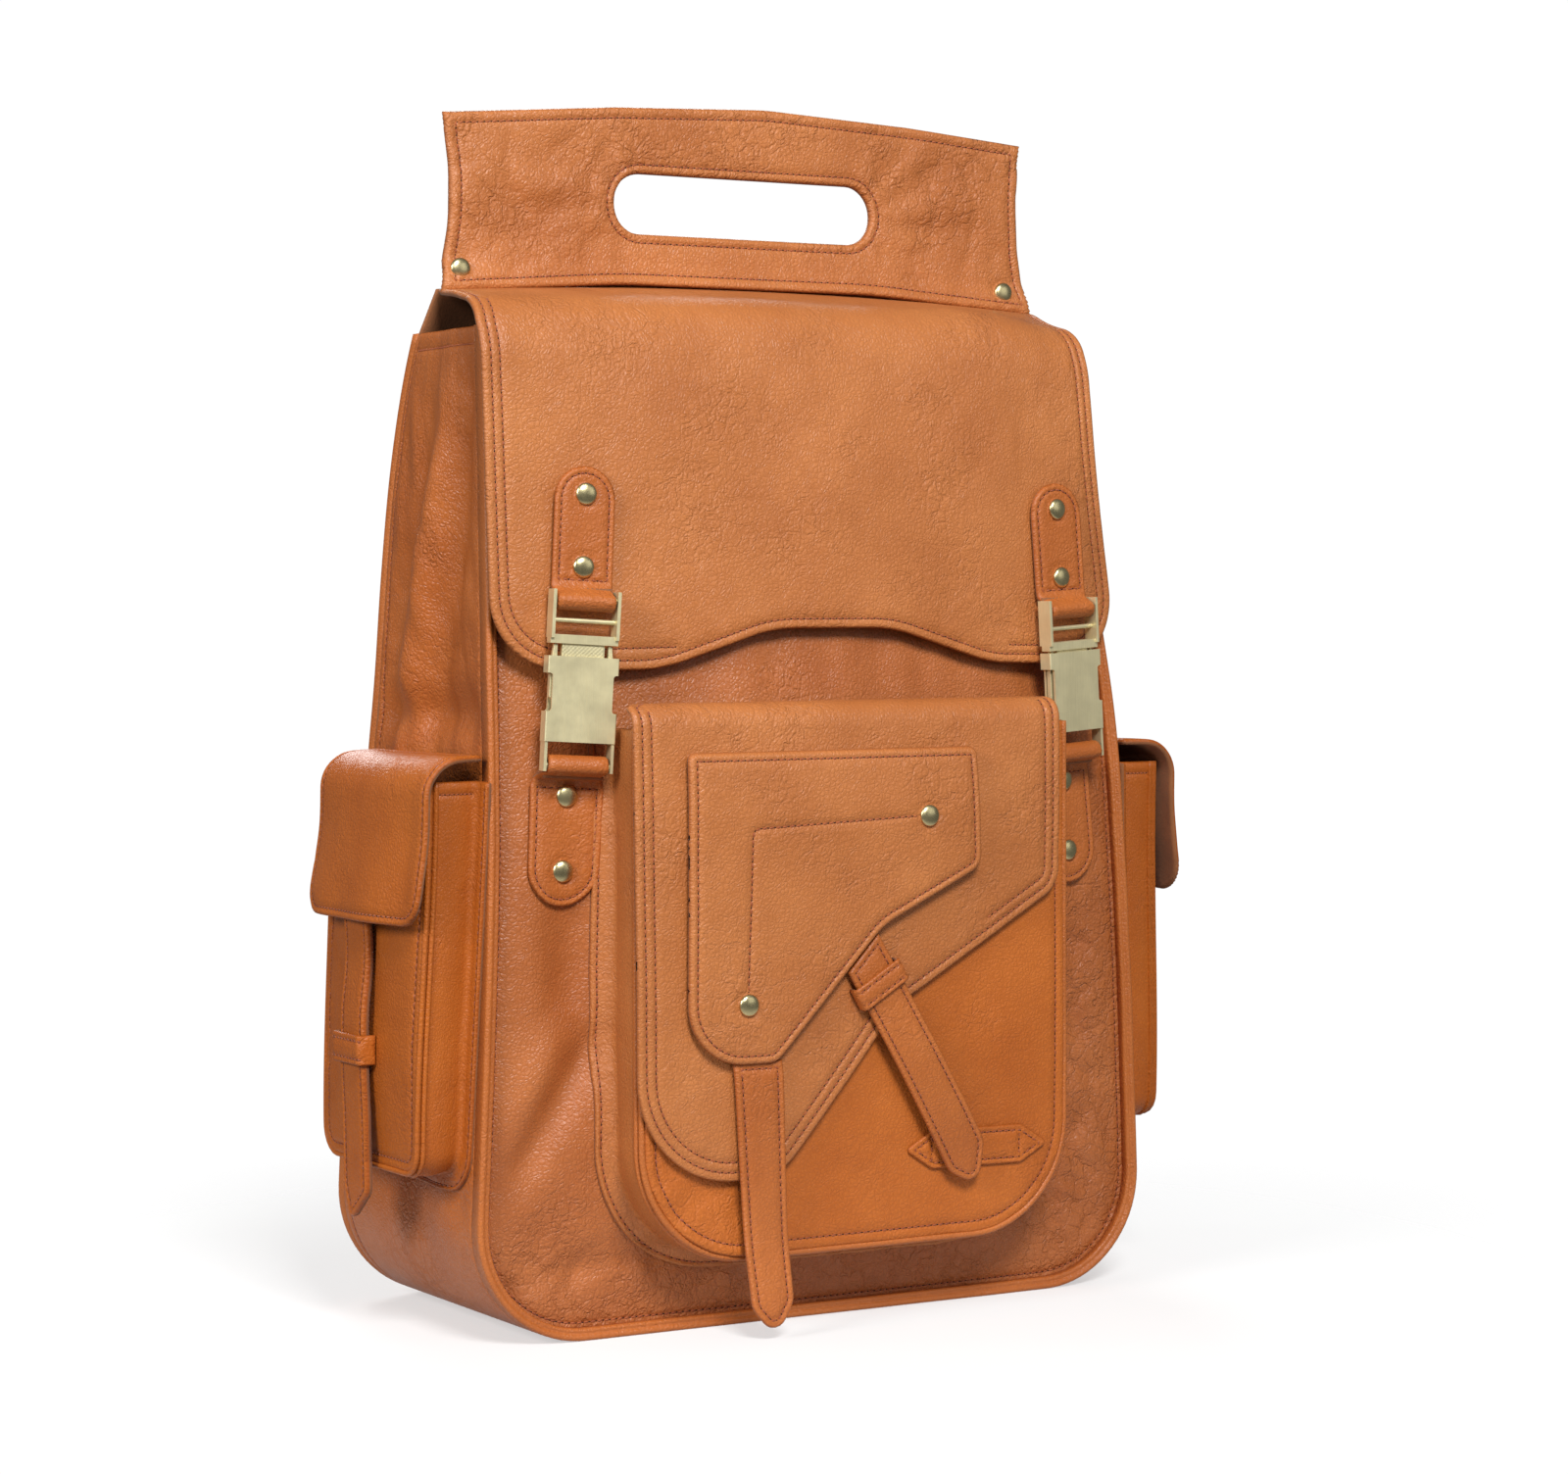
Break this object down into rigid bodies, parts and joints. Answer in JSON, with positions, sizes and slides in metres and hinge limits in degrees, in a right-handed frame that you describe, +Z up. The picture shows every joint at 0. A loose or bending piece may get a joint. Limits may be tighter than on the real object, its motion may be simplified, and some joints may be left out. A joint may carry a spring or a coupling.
{
  "type": "leather backpack",
  "caption": "Upright soft leather backpack with a buckled main flap, a flapped front pocket with crossed straps, two side pockets, a slotted carry handle and shoulder straps.",
  "frame": {"origin": "centre of the base's underside, on the surface that the bag stands on", "axes": "+Z up to the handle, -Y out of the front with the pocket and flap, +X to the right seen from the front"},
  "size_m": [0.3586, 0.224, 0.497],
  "materials": {
    "leather": "semi-aniline full grain, soft sheen",
    "lining": "matte woven twill",
    "board": "fibreboard",
    "brass": "antique brushed"
  },
  "bodies": {
    "shell": {"back_panel": "leather", "back_welt": "leather", "base_board": "board", "base_panel": "leather", "body_tab_left": "leather", "body_tab_right": "leather", "body_tab_rivets": "brass", "front_panel": "leather", "front_welt": "leather", "lining": "lining", "pocket_face": "leather", "pocket_gusset": "leather", "pocket_tab": "leather", "pocket_welt": "leather", "shoulder_strap_root_left": "leather", "shoulder_strap_root_right": "leather", "side_gusset_left": "leather", "side_gusset_right": "leather", "side_pocket_face_left": "leather", "side_pocket_face_right": "leather", "side_pocket_gusset_left": "leather", "side_pocket_gusset_right": "leather", "side_pocket_keeper_left": "leather", "side_pocket_keeper_right": "leather", "strap_anchor_left": "leather", "strap_anchor_right": "leather", "strap_yoke": "leather"},
    "main_flap_top": {"flap_top": "leather"},
    "main_flap_front": {"flap_front": "leather", "flap_tab_left": "leather", "flap_tab_right": "leather", "flap_tab_rivets": "brass"},
    "handle": {"handle_panel": "leather", "handle_rivets": "brass"},
    "front_pocket_flap": {"pocket_flap": "leather", "diagonal_keeper": "leather", "diagonal_strap_root": "leather"},
    "overlay": {"overlay_flap": "leather", "overlay_rivets": "brass"},
    "hanging_strap": {"vertical_strap": "leather"},
    "slanting_strap": {"diagonal_strap_end": "leather"},
    "tongue_left": {"buckle_tongue_left": "brass"},
    "prong_inner_left": {"buckle_prong_inner_left": "brass"},
    "prong_outer_left": {"buckle_prong_outer_left": "brass"},
    "socket_left": {"buckle_socket_left": "brass"},
    "side_flap_left": {"side_pocket_flap_left": "leather", "side_pocket_strap_left": "leather"},
    "shoulder_strap_left": {"shoulder_pad_left": "leather", "shoulder_tail_left": "leather", "strap_adjuster_left": "brass"},
    "tongue_right": {"buckle_tongue_right": "brass"},
    "prong_inner_right": {"buckle_prong_inner_right": "brass"},
    "prong_outer_right": {"buckle_prong_outer_right": "brass"},
    "socket_right": {"buckle_socket_right": "brass"},
    "side_flap_right": {"side_pocket_flap_right": "leather", "side_pocket_strap_right": "leather"},
    "shoulder_strap_right": {"shoulder_pad_right": "leather", "shoulder_tail_right": "leather", "strap_adjuster_right": "brass"}
  },
  "joints": [
    {"name": "flap_lift", "type": "hinge", "parent": "shell", "child": "main_flap_top", "pos_m": [0, -0.0084, 0.4174], "axis": [-1, 0, 0], "range_deg": [0, 75]},
    {"name": "flap_bend", "type": "hinge", "parent": "main_flap_top", "child": "main_flap_front", "pos_m": [0, -0.0568, 0.40965], "axis": [-1, 0, 0], "range_deg": [0, 80]},
    {"name": "handle_lean", "type": "hinge", "parent": "shell", "child": "handle", "pos_m": [0, -0.0049, 0.4184], "axis": [-1, 0, 0], "range_deg": [-20, 20], "stiffness_Nm_per_rad": 0.4},
    {"name": "pocket_flap_lift", "type": "hinge", "parent": "shell", "child": "front_pocket_flap", "pos_m": [0, -0.083, 0.2516], "axis": [-1, 0, 0], "range_deg": [0, 75]},
    {"name": "overlay_lift", "type": "hinge", "parent": "front_pocket_flap", "child": "overlay", "pos_m": [0, -0.101, 0.2325], "axis": [-1, 0, 0], "range_deg": [0, 60]},
    {"name": "hanging_strap_lift", "type": "hinge", "parent": "overlay", "child": "hanging_strap", "pos_m": [-0.0525, -0.1034, 0.1096], "axis": [-1, 0, 0], "range_deg": [0, 60]},
    {"name": "slanting_strap_lift", "type": "hinge", "parent": "front_pocket_flap", "child": "slanting_strap", "pos_m": [0.0065, -0.1032, 0.13257], "axis": [-0.8572, 0, -0.515], "range_deg": [0, 90]},
    {"name": "tongue_swing_left", "type": "hinge", "parent": "main_flap_front", "child": "tongue_left", "pos_m": [-0.11367, -0.07857, 0.29213], "axis": [-0.9858, 0.1561, 0.061], "range_deg": [0, 90]},
    {"name": "socket_swing_left", "type": "hinge", "parent": "shell", "child": "socket_left", "pos_m": [-0.11758, -0.07795, 0.22735], "axis": [0.9858, -0.1561, -0.061], "range_deg": [0, 90]},
    {"name": "release_inner_left", "type": "hinge", "parent": "tongue_left", "child": "prong_inner_left", "pos_m": [-0.10381, -0.08013, 0.27348], "axis": [0.1564, 0.9877, 0], "range_deg": [0, 4], "stiffness_Nm_per_rad": 0.05},
    {"name": "release_outer_left", "type": "hinge", "parent": "tongue_left", "child": "prong_outer_left", "pos_m": [-0.12569, -0.07666, 0.27484], "axis": [-0.1564, -0.9877, 0], "range_deg": [0, 4], "stiffness_Nm_per_rad": 0.05},
    {"name": "side_flap_lift_left", "type": "hinge", "parent": "shell", "child": "side_flap_left", "pos_m": [-0.153, -0.0135, 0.229], "axis": [0, 1, 0], "range_deg": [0, 90]},
    {"name": "shoulder_strap_swing_left", "type": "hinge", "parent": "shell", "child": "shoulder_strap_left", "pos_m": [-0.048, 0.025, 0.35], "axis": [-0.2177, 0.127, -0.9677], "range_deg": [-15, 15], "stiffness_Nm_per_rad": 0.8},
    {"name": "tongue_swing_right", "type": "hinge", "parent": "main_flap_front", "child": "tongue_right", "pos_m": [0.11391, -0.07853, 0.28814], "axis": [-0.9858, -0.1561, -0.061], "range_deg": [0, 90]},
    {"name": "socket_swing_right", "type": "hinge", "parent": "shell", "child": "socket_right", "pos_m": [0.11758, -0.07795, 0.22735], "axis": [0.9858, 0.1561, 0.061], "range_deg": [0, 90]},
    {"name": "release_inner_right", "type": "hinge", "parent": "tongue_right", "child": "prong_inner_right", "pos_m": [0.10405, -0.08009, 0.26949], "axis": [0.1564, -0.9877, 0], "range_deg": [0, 4], "stiffness_Nm_per_rad": 0.05},
    {"name": "release_outer_right", "type": "hinge", "parent": "tongue_right", "child": "prong_outer_right", "pos_m": [0.12594, -0.07663, 0.27085], "axis": [-0.1564, 0.9877, 0], "range_deg": [0, 4], "stiffness_Nm_per_rad": 0.05},
    {"name": "side_flap_lift_right", "type": "hinge", "parent": "shell", "child": "side_flap_right", "pos_m": [0.153, -0.0135, 0.229], "axis": [0, -1, 0], "range_deg": [0, 90]},
    {"name": "shoulder_strap_swing_right", "type": "hinge", "parent": "shell", "child": "shoulder_strap_right", "pos_m": [0.048, 0.025, 0.35], "axis": [0.2177, 0.127, -0.9677], "range_deg": [-15, 15], "stiffness_Nm_per_rad": 0.8}
  ],
  "couplings": [
    {"joint": "release_outer_left", "follows": "release_inner_left", "ratio": 1},
    {"joint": "release_outer_right", "follows": "release_inner_right", "ratio": 1}
  ]
}
